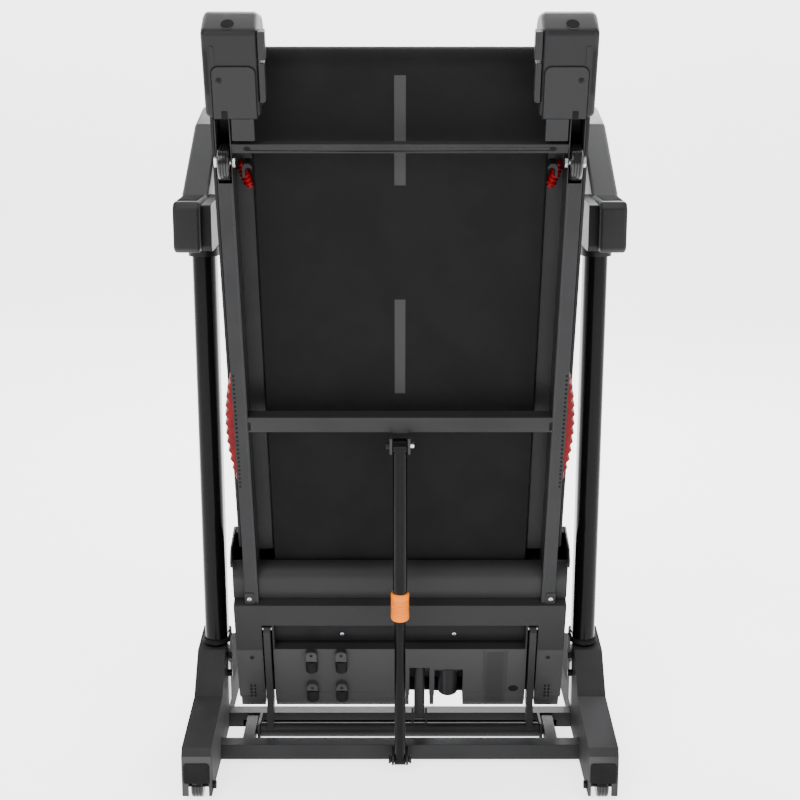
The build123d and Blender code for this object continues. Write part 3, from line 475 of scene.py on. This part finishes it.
def facing(point, outward, roll=0.0):
    """A place whose +Z is the outward direction."""
    z = Vector(outward).normalized()
    side = Vector((1, 0, 0)) if abs(z.x) < 0.9 else Vector((0, 0, 1))
    x = (side - z * side.dot(z)).normalized()
    y = z.cross(x)
    base = Matrix((x, y, z)).transposed().to_4x4()
    return Matrix.Translation(point) @ base @ Matrix.Rotation(roll, 4, "Z")


def screw(name, point, outward, radius, body, surface="black_oxide", roll=0.6):
    place = facing(point, outward, roll)
    smooth(piece(name, cross_screw(radius), place, surface, body, 0))
    # painted shade laid in the head's cross recess
    piece(name + "_recess", screw_slots(radius), place, "painted_recess_shade", body, 0)


def both(name, build):
    """Build a piece on each side; build gets the side's name and sign."""
    for side, sign in SIDES:
        build(side + "_" + name, sign)


def under_plate(name, outline, h, thick, surface, sign=1, width=0.0006, body="deck"):
    """A plate on an underside of the deck at height h: outline in (x, u), standing out by thick."""
    shape = deck_prism([(sign * x, u) for x, u in outline], h - thick, h + 0.2)
    return piece(name, shape, DECK, surface, body, width)


# ---------------------------------------------------------------- deck details
def side_bumpers():
    """Corrugated elastomer bumpers, swelling in the middle, in place of the plain ones."""
    half, mid, proud = 113.0, 617.0, 14.0
    wall, low, high = 270.1, 46, 80
    count, vents, pitch = 104, 27, 8.2
    shapes = []
    for sign in (-1, 1):
        verts, faces = [], []
        for i in range(count + 1):
            t = i / count
            u = mid - half + 2 * half * t
            swell = proud * (1 - (2 * t - 1) ** 2)
            ridge = 2.4 * (abs((i % 8) - 4) / 2 - 1) * min(1.0, 6 * t, 6 * (1 - t))
            x = wall + max(0.6, swell + ridge - 1)
            for px, ph in ((wall, low), (x - 1.6, low), (x, low + 2.5), (x, high - 2.5), (x - 1.6, high), (wall, high)):
                verts.append((sign * px, -u, ph))
        ring = 6
        for i in range(count):
            for k in range(ring):
                a, b = i * ring + k, i * ring + (k + 1) % ring
                faces.append([a, b, b + ring, a + ring])
        faces.append(list(range(ring)))
        faces.append([count * ring + k for k in range(ring)][::-1])
        shapes.append((verts, faces))
    piece("side_bumpers", join(*shapes), DECK, "red_elastomer", "deck", 0.0004, ("side_trims",))
    # painted shade: dark discs where the vents open
    rims = []
    for sign in (-1, 1):
        for i in range(vents):
            u = mid - half + 6 + i * pitch
            vent = lathe([(0, 0), (2.0, 0), (2.0, 0.7), (0, 0.7)], 12)
            rims.append(moved(vent, sign * 266, -u, RAIL_UNDER - 0.4))
    piece("bumper_vents", join(*rims), DECK, "painted_recess_shade", "deck", 0)


def ribbed_link(length):
    """A flattened bellows along +X with rounded ends."""
    profile = []
    ribs, steps = 7, 6
    for i in range(ribs * steps + 1):
        t = i / (ribs * steps)
        wave = 0.5 - 0.5 * cos(2 * pi * i / steps)
        cap = min(1.0, 6 * t, 6 * (1 - t)) ** 0.5
        profile.append(((5.6 + 2.6 * wave) * max(cap, 0.3), length * t))
    verts, faces = lathe([(0, 0)] + profile + [(0, length)], 28)
    return [(z - length / 2, x, y * 1.15) for x, y, z in verts], faces


def damper_links():
    """Slanted red buffers in the gaps between the rails and the belt's edges."""
    shapes = []
    for sign in (1, -1):
        outer, inner = Vector((sign * 240.5, 1071)), Vector((sign * 226, 1027))
        turn = Matrix.Rotation(atan2(inner.y - outer.y, outer.x - inner.x), 3, "Z")
        middle = (outer + inner) / 2
        shapes.append(moved(ribbed_link((outer - inner).length), middle.x, -middle.y, 81.5, turn))
    piece("damper_links", join(*shapes), DECK, "red_elastomer", "deck", 0.0003, ("rear_dampers",))


def cap_shell(name, sign):
    """A rear end cap with full rounded corners, in place of the plain one."""
    low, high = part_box(name)
    inner, outer = sign * 200, (high.x if sign > 0 else low.x) / MM
    outline = [(1156, CAP_UNDER), (1286, CAP_UNDER), (1297, 72), (1297, 84), (1284, 120), (1268, 138), (1156, 142)]
    verts = [(x, -u, h) for x in (inner, outer) for u, h in outline]
    count = len(outline)
    faces = [list(range(count)), list(range(count, 2 * count))[::-1]]
    faces += [[i, (i + 1) % count, count + (i + 1) % count, count + i] for i in range(count)]
    obj = piece(name + "_shell", (verts, faces), DECK, "cap_plastic", "deck", 0.009, (name,))
    obj.modifiers["bevel"].segments = 6
    slope = Vector((0, -42, -11)).normalized()
    place = facing(on_deck(sign * 243, 1290.2, 46), DECK.to_3x3() @ slope)
    # painted shade: a dark oval where the hole opens
    hole = prism(oval(0, 0, 9.7, 12), -0.5, 0.35)
    piece(name + "_hole", hole, place, "painted_recess_shade", "deck", 0)
    rim = ring_plate(oval(0, 0, 10.6, 12.9), oval(0, 0, 9.5, 11.8), -0.5, 0.55)
    piece(name + "_hole_rim", rim, place, "cap_plastic", "deck", 0)


def cap_details(name, sign):
    """Raised plate, ridge, fins and screw of a rear end cap."""
    cap_shell(name, sign)
    plate = rounded(206, 268, 1157, 1234, (1.5, 1.5, 10, 10))
    under_plate(name + "_plate", plate, CAP_UNDER, 1.8, "cover_plastic", sign, 0.0008)
    # painted shade: a thin dark outline in the seam round the plate
    edge = rounded(204.4, 269.6, 1155.6, 1235.6, (1, 1, 11, 11))
    under_plate(name + "_seam", edge, CAP_UNDER, 0.25, "painted_recess_shade", sign, 0)
    rim = rounded(263, 268.5, 1237, 1264, (2, 2, 2, 2))
    under_plate(name + "_scoop_rim", rim, CAP_UNDER, 1.6, "cap_plastic", sign, 0.0016)
    # painted shade in the notch
    notch = rounded(248, 257, 1157.6, 1169, (0, 0, 1, 1))
    under_plate(name + "_notch", notch, CAP_UNDER - 1.8, 0.2, "painted_recess_shade", sign, 0)
    tongue = rounded(211, 244, 1122, 1157, (2, 2, 0, 0))
    under_plate(name + "_tongue", tongue, RAIL_UNDER, 6, "cover_plastic", sign, 0.001)
    fins = []
    for outline, top in ((rounded(190, 200.5, 1243, 1284, (1, 0, 0, 1)), 46),
                         (rounded(192, 200.5, 1180, 1239, (5, 0, 0, 1)), 52)):
        fins.append(deck_prism([(sign * x, u) for x, u in outline], CAP_UNDER, top))
    piece(name + "_fins", join(*fins), DECK, "cover_plastic", "deck", 0.0008)
    screw(name + "_screw", on_deck(sign * 258, 1214, CAP_UNDER - 1.8), -ABOVE, 4.2, "deck")


def wheel_pieces(name, half, step, radii, rim, bands, counts):
    """The hubs on a wheel's faces and the bands round its tread.

    half is half the wheel's width, step half a hub's relief, radii the hub's profile, rim the tread's
    inner and outer radius, bands (middles, half width), and counts the sides of a hub and of a band.
    """
    hubs = []
    for side in (-1, 1):
        low, high = side * half - side * step, side * half + side * step
        hubs.append(lathe(list(zip((*radii, radii[0]), (low, low, high, high, low, low))), counts[0]))
    treads = []
    middles, wide = bands
    for x in middles:
        treads.append(lathe([(rim[0], x - wide), (rim[1], x - wide), (rim[1], x + wide), (rim[0], x + wide)],
                            counts[1]))
    turn = Matrix.Rotation(pi / 2, 3, "Y")
    place = Matrix.Translation(Vector(JOINTS[name + "_spin"]["pos_m"]))
    piece(name + "_hubs", moved(join(*hubs), 0, 0, 0, turn), place, "wheel_black", name, 0.0003)
    piece(name + "_tread", moved(join(*treads), 0, 0, 0, turn), place, "black_rubber", name, 0)


def deck_wheel_details(name, _):
    wheel_pieces(name, 8.5, 0.5, (8.6, 17, 18, 20, 21), (26.9, 27.15), ((-4, 0, 4), 0.6), (44, 60))


def wheel_arch(name, sign):
    """The bracket that arches over a deck wheel."""
    outline = [(0, 0), (0, 17), (-4, 22), (-11, 22), (-15, 17), (-15, 13), (-11, 15), (-7, 15), (-4, 12), (-4, 0)]
    shape = deck_prism([(sign * (233 + x), 1062 + u) for x, u in outline], RAIL_UNDER + 2, 60)
    piece(name, shape, DECK, "black_oxide", "deck", 0.0006)


def frame_marks(name, sign):
    """Small openings and tabs on the underside of the deck frame."""
    # painted shade: dark patches in the hole and the notch
    under_plate(name + "_hole", oval(224, 1108, 5.2, 3.6), RAIL_UNDER, 0.15, "painted_recess_shade", sign, 0)
    notch = rounded(242.5, 247.5, 620, 636, (2, 2, 2, 2))
    under_plate(name + "_notch", notch, RAIL_UNDER, 0.15, "painted_recess_shade", sign, 0)
    tab = rounded(255, 271, 262, 286, (3, 3, 3, 3))
    under_plate(name + "_tab", tab, RAIL_UNDER, 1.6, "frame_steel", sign, 0.0006)
    screw(name + "_tab_screw", on_deck(sign * 263, 273, RAIL_UNDER - 1.6), -ABOVE, 4, "deck", "zinc_steel")
    ridge = rounded(248.5, 250.5, 310, 1050, (0, 0, 0, 0))
    under_plate(name + "_bead", ridge, RAIL_UNDER, 0.7, "frame_steel", sign, 0.0004)


def bracket_bolt():
    """The hexagon head on the strut's upper bracket."""
    head = lathe([(0, 0), (5, 0), (5, 5), (4, 6), (0, 6)], 6)
    piece("bracket_bolt", head, facing(on_deck(17, 602, 20), (1, 0, 0)), "zinc_steel", "deck", 0.0004)


# ---------------------------------------------------------------- motor bay details
def pan_details():
    """Bosses, openings, screws and ribs on the motor pan's underside."""
    bosses, holes = [], []
    for x in (-158, -105):
        for u0, u1 in ((143, 166), (75, 91)):
            bosses.append(deck_prism(rounded(x - 10, x + 10, u0, u1, (1, 1, 9, 9)), 19, PAN_UNDER + 0.4))
            holes.append(deck_prism(oval(x, u1 - 9, 2.6, 2.6, 16), 18.7, 19.2))
    piece("pan_bosses", join(*bosses), DECK, "pan_plastic", "deck", 0.0016)

    openings = [(rounded(sign * 248.5 - 6, sign * 248.5 + 6, 163, 191, (3, 3, 3, 3)), PAN_UNDER)
                for _, sign in SIDES]
    openings += [(oval(205, 72, 9, 7), PAN_UNDER), (oval(235, 103, 6, 6), PAN_UNDER - 8)]
    for outline, height in openings:
        holes.append(deck_prism(outline, height - 0.25, height + 0.1))
    for _, sign in SIDES:
        for i in range(4):
            for k in range(2):
                slot = oval(sign * (262 + 7 * k), 56 + 8 * i, 1.9, 2.6, 14)
                holes.append(deck_prism(slot, PAN_SIDE_UNDER - 0.2, PAN_SIDE_UNDER + 0.3))
    # painted shade: dark plates laid in the bosses' holes, the openings and the slots
    piece("pan_holes", join(*holes), DECK, "painted_recess_shade", "deck", 0)

    for name, x, u, h, surface in (("pan_screw_a", -103.5, 182, PAN_RECESS, "zinc_steel"),
                                   ("pan_screw_b", 96.5, 182, PAN_RECESS, "zinc_steel"),
                                   ("pan_screw_c", -264, 146, PAN_SIDE_UNDER, "black_oxide"),
                                   ("pan_screw_d", 264, 146, PAN_SIDE_UNDER, "black_oxide")):
        screw(name, on_deck(x, u, h), -ABOVE, 3.8, "deck", surface)
    pan_lip()
    ribs = [deck_prism(rounded(x, x + 2, 60, 160, (1, 1, 1, 1)), PAN_UNDER - 1.1, PAN_UNDER + 0.2)
            for x in (149, 190)]
    piece("pan_ribs", join(*ribs), DECK, "pan_plastic", "deck", 0.0008)


def pan_lip():
    """The rolled lower edge of the pan, between the lift arms' channels and the drive openings."""
    outside = [(62, 29.6), (40, 29.6), (31, 32), (25.5, 38), (24.5, 48), (27, 60), (34, 68)]
    inside = [(36, 66), (31, 59), (28.5, 48), (29.3, 39.5), (33, 35), (41, 33), (62, 33)]
    outline = outside + inside
    count = len(outline)
    shapes = []
    for x0, x1 in ((-288, -245), (-225, 16), (54, 61), (114, 225), (245, 288)):
        verts = [(x, -u, h) for x in (x0, x1) for u, h in outline]
        faces = [[i, (i + 1) % count, count + (i + 1) % count, count + i] for i in range(count)]
        for start in (0, count):
            for i in range(len(outside) - 1):
                faces.append([start + i, start + i + 1, start + count - 2 - i, start + count - 1 - i])
        shapes.append((verts, faces))
    piece("pan_lip", join(*shapes), DECK, "pan_plastic", "deck", 0.0004)


def hood_details():
    """Louvres and a raised panel on the hood's roof, and the screws on its cheeks."""
    # painted shade: the louvre slots are dark strips on the roof
    slots = []
    for side in (-1, 1):
        for i in range(7):
            x = side * (90 + 17 * i)
            slot = rounded(x - 3, x + 3, 128, 194, (3, 3, 3, 3), 4)
            slots.append(deck_prism(slot, HOOD_ROOF - 0.2, HOOD_ROOF + 0.15))
    piece("hood_louvres", join(*slots), DECK, "painted_recess_shade", "deck", 0)
    verts, faces = ring_plate(rounded(-60, 60, 124, 200, (8, 8, 8, 8)),
                              rounded(-57.5, 57.5, 126.5, 197.5, (6, 6, 6, 6)), HOOD_ROOF - 0.1, HOOD_ROOF + 0.8)
    piece("hood_panel", ([(x, -y, z) for x, y, z in verts], faces), DECK, "pan_plastic", "deck", 0.0004)
    for side, sign in SIDES:
        for i, (u, h) in enumerate(((70, 92), (290, 150), (320, 78))):
            screw(f"hood_screw_{i}_{side[0]}", on_deck(sign * 294, u, h), (sign, 0, 0), 4, "deck")


# ---------------------------------------------------------------- base details
def base_details(name):
    """The toe plate on the end of a foot, and the hubs and grooves of its transport wheel."""
    low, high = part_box(name + "_foot_cover")
    x = (low.x + high.x) / 2 / MM
    verts, faces = prism(rounded(x - 22, x + 22, 31, 68, (4, 4, 6, 6)), -0.2, 1.2)
    toe = [(px, -pz, py) for px, py, pz in verts], faces
    piece(name + "_toe", moved(toe, 0, low.y / MM, 0), Matrix.Identity(4), "black_rubber", "base", 0.0006)
    wheel_pieces(name + "_transport_wheel", 10, 0.4, (5, 11, 12, 14, 15), (19.95, 20.1), ((-5, 0, 5), 0.5),
                 (40, 48))


def upright_boot(name, sign):
    """A rubber boot where an upright leaves its foot cover."""
    foot_z, foot_y = 50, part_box(name + "_upright")[1].y / MM - 33
    lean = (10 - 37) / (905 - 50)
    middle_x, corner, flat = 335, 20, 13
    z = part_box(name + "_foot_cover")[1].z / MM
    count = 48
    verts, faces = [], []
    rows = ((4.5, -3), (4.5, 1), (3, 4), (1.2, 5))
    for grow, rise in rows:
        middle_y = foot_y + lean * (z + rise - foot_z)
        for i in range(count):
            a = 2 * pi * i / count
            half = flat if sin(a) > 0 else -flat
            verts.append((sign * middle_x + (corner + grow) * cos(a), middle_y + half + (corner + grow) * sin(a),
                          z + rise))
    for r in range(len(rows) - 1):
        for i in range(count):
            j = (i + 1) % count
            faces.append([r * count + i, r * count + j, (r + 1) * count + j, (r + 1) * count + i])
    smooth(piece(name + "_boot", (verts, faces), Matrix.Identity(4), "black_rubber", "base", 0))


# ---------------------------------------------------------------- strut
COLLAR_LENGTH = 50


def collar_sleeve():
    """The orange locking collar, waisted and grooved for a grip, in place of the plain one."""
    joint = JOINTS["strut_extend"]
    axis = Vector(joint["axis"]).normalized()
    foot = Vector(JOINTS["strut_swing"]["pos_m"])
    low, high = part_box("locking_collar")
    start = ((low + high) / 2 - foot).dot(axis) / MM - COLLAR_LENGTH / 2
    profile = [(9.9, 0), (13.6, 0), (14.8, 1), (15.4, 3), (15.4, 12), (14.9, 13.5)]
    for i in range(6):
        z = 14 + 4 * i
        profile += [(15.3, z), (15.3, z + 2.2), (14.6, z + 2.8), (14.6, z + 3.6)]
    profile += [(15.4, 39), (15.4, 46), (14.6, 49), (13.4, COLLAR_LENGTH), (12.1, COLLAR_LENGTH),
                (12.1, 6), (9.9, 6), (9.9, 0)]
    profile = [(radius, start + height) for radius, height in profile]
    place = facing(foot, axis)
    piece("collar_grip", lathe(profile, 64), place, "orange_plastic", "strut_sleeve", 0.0003, ("locking_collar",))
    band = lathe([(radius, start + height) for radius, height in
                  ((9.6, -4), (11.4, -4), (11.8, -3), (11.8, 0), (9.6, 0), (9.6, -4))], 48)
    piece("wiper_ring", band, place, "black_rubber", "strut_sleeve", 0.0002)


# ---------------------------------------------------------------- arms and console
def grip_surface():
    """Arm plastic outside, darker ribbed rubber on the inner blocks."""
    s = moulded("arm_plastic", (0.013, 0.013, 0.0135), 0.42, 0.25)
    inner = s.step(s.math("ABSOLUTE", s.along((1, 0, 0))), 0.3265, 0.3275)
    previous = s.shader.inputs["Base Color"].links[0].from_socket
    s.color(s.mix(inner, (0.006, 0.006, 0.0063), previous))
    return s.material


def arms():
    """Give both arms their two-tone plastic and a wider soft edge."""
    material = grip_surface()
    for side, _ in SIDES:
        node = NODES[side + "_handrail"]
        node.data.materials[0] = material
        node.modifiers["bevel"].width = 0.0012


def grip_details(name, sign):
    """A ribbed rubber grip on top of an arm."""
    middle, half, pitch, top = sign * 349.5, 17, 10, 990.8
    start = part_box("left_handrail")[0].y / MM + 106.0
    ribs = []
    for i in range(15):
        y = -80 + pitch * i
        ribs.append(prism(rounded(middle - half, middle + half, y, y + 5, (2, 2, 2, 2), 3), top - 1.8, top))
    shift = Matrix.Translation((0, start * MM, 0))
    piece(name + "_grip", join(*ribs), shift, "black_rubber", "base", 0.0006)


def upward_face(normal):
    """Axes for a face: X across, Y up the face and Z out of it."""
    up = Vector((1, 0, 0)).cross(normal)
    up = -up if up.z < 0 else up
    return Matrix((Vector((1, 0, 0)), up, normal)).transposed().to_4x4()


def console_details():
    """A raised bezel and plain bar charts on the display."""
    low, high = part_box("console_display")
    normal = Vector(JOINTS["start_button_press"]["axis"]).normalized() * -1
    place = Matrix.Translation((low + high) / 2 + normal * 0.00075) @ upward_face(normal)
    bezel = ring_plate(rounded(-168, 168, -46, 46, (8, 8, 8, 8)), rounded(-162, 162, -40, 40, (6, 6, 6, 6)), -0.1, 1.3)
    piece("display_bezel", bezel, place, "cover_plastic", "base", 0.0004)
    thick, wide, pitch, foot = 0.12, 8, 13, -24
    bars = []
    for middle in (-110, 0, 110):
        for k in range(5):
            x = middle - 30 + pitch * k
            tall = 8 + 5 * ((k * 3 + abs(middle) // 50) % 4)
            bars.append(prism([(x, foot), (x + wide, foot), (x + wide, foot + tall), (x, foot + tall)], 0, thick))
        bars.append(prism([(middle - 36, 26), (middle + 36, 26), (middle + 36, 27.2), (middle - 36, 27.2)], 0, thick))
    piece("display_marks", join(*bars), place, "white_print", "base", 0)


def button_icons():
    """Plain shapes on the keys: a triangle, a square, and arrows."""
    triangle = [(-3, -3.6), (3.8, 0), (-3, 3.6)]
    square = [(-3, -3), (3, -3), (3, 3), (-3, 3)]
    upward = [(-4, -2.4), (4, -2.4), (0, 3.4)]
    downward = [(-4, 2.4), (0, -3.4), (4, 2.4)]
    shapes = {"start_button": triangle, "stop_button": square, "speed_up_button": upward,
              "speed_down_button": downward, "incline_up_button": upward, "incline_down_button": downward}
    for name, outline in shapes.items():
        low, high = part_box(name)
        normal = Vector(JOINTS[name + "_press"]["axis"]).normalized() * -1
        place = Matrix.Translation((low + high) / 2 + normal * 0.0045) @ upward_face(normal)
        piece(name + "_icon", prism(outline, -0.1, 0.12), place, "white_print", name, 0)


CUP_DROP = 0.138


def cup_liner(name):
    """A rubber rim round a bottle cup, on the console's deck below its raised back."""
    opening = next(o for o in frame["record"]["physics"]["openings"] if o["name"] == name + "_bottle_holder")
    low, high = opening["box_m"]
    x, y = (low[0] + high[0]) / 2, (low[1] + high[1]) / 2
    profile = [(37.9, -14), (37.9, 0.8), (39, 1.8), (41.2, 1.8), (42, 0.8), (42, -1), (37.9, -14)]
    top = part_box("console_housing")[1].z - CUP_DROP
    piece(name + "_cup_rim", lathe(profile, 56), Matrix.Translation((x, y, top)), "black_rubber", "base", 0.0004)


# ---------------------------------------------------------------- setting
def mesh_object(name, verts, faces, material):
    """A mesh of the setting, which isn't part of the object."""
    mesh = bpy.data.meshes.new(name)
    mesh.from_pydata(verts, [], faces)
    mesh.materials.append(material)
    obj = bpy.data.objects.new(name, mesh)
    bpy.context.scene.collection.objects.link(obj)
    return obj


def floor():
    """A plain pale sweep: a floor that curves up into a back wall."""
    s = Surface("floor", 0.7)
    s.color(s.mix(s.step(s.noise(3, 3), 0.4, 0.7), (0.92, 0.92, 0.92), (0.95, 0.95, 0.95)))
    s.bump(s.noise(120, 2), 0.02, 0.001)
    s.shader.inputs["Emission Color"].default_value = (1, 1, 1, 1)
    s.shader.inputs["Emission Strength"].default_value = 2.3
    half, front, back, high, bend = 9.0, -9.0, 5.0, 8.0, 1.5
    verts, faces = [], []
    rows = [(front, 0.0), (back - bend, 0.0)]
    rows += [(back - bend + bend * sin(radians(a)), bend - bend * cos(radians(a))) for a in range(10, 91, 10)]
    rows.append((back, high))
    for y, z in rows:
        verts += [(-half, y, z), (half, y, z)]
    for i in range(len(rows) - 1):
        faces.append([2 * i, 2 * i + 1, 2 * i + 3, 2 * i + 2])
    smooth(mesh_object("floor", verts, faces, s.material))


def light(name, place, target, size, power):
    """A soft rectangular lamp that faces its target."""
    data = bpy.data.lights.new(name, "AREA")
    data.shape = "RECTANGLE"
    data.size, data.size_y = size
    data.energy = power
    obj = bpy.data.objects.new(name, data)
    bpy.context.scene.collection.objects.link(obj)
    obj.location = place
    obj.rotation_euler = (Vector(target) - Vector(place)).to_track_quat("-Z", "Y").to_euler()


def lights():
    """An even sky with four soft lamps round the machine."""
    world = bpy.data.worlds.new("studio")
    bpy.context.scene.world = world
    world.use_nodes = True
    world.node_tree.nodes["Background"].inputs["Color"].default_value = (0.95, 0.96, 1.0, 1)
    world.node_tree.nodes["Background"].inputs["Strength"].default_value = 0.62
    light("key", (-1.6, -3.2, 2.6), (0, 0, 0.6), (1.8, 1.8), 100)
    light("fill", (2.2, -2.8, 1.6), (0, 0, 0.6), (1.6, 2.2), 60)
    light("top", (0, -0.3, 3.4), (0, 0, 0.5), (2.4, 2.0), 75)
    light("back", (0.4, 2.6, 2.4), (0, 0, 0.8), (2.0, 1.6), 90)


def camera():
    """The photograph's view: in front of the folded deck, a little above its middle, looking down."""
    distance, height, pitch = 2.56, 1.232, 13
    data = bpy.data.cameras.new("camera")
    data.sensor_width = 36
    data.lens = 68.4
    obj = bpy.data.objects.new("camera", data)
    bpy.context.scene.collection.objects.link(obj)
    obj.location = (0, FOLD.y - distance, height)
    obj.rotation_euler = (radians(90 - pitch), 0, 0)
    bpy.context.scene.camera = obj


# ---------------------------------------------------------------- build
finish_nodes()
arms()
side_bumpers()
damper_links()
both("end_cap", cap_details)
both("deck_wheel", deck_wheel_details)
both("wheel_arch", wheel_arch)
both("frame", frame_marks)
bracket_bolt()
pan_details()
hood_details()
for side, sign in SIDES:
    base_details(side)
    upright_boot(side, sign)
    grip_details(side, sign)
    cup_liner(side)
collar_sleeve()
console_details()
button_icons()
floor()
lights()
camera()
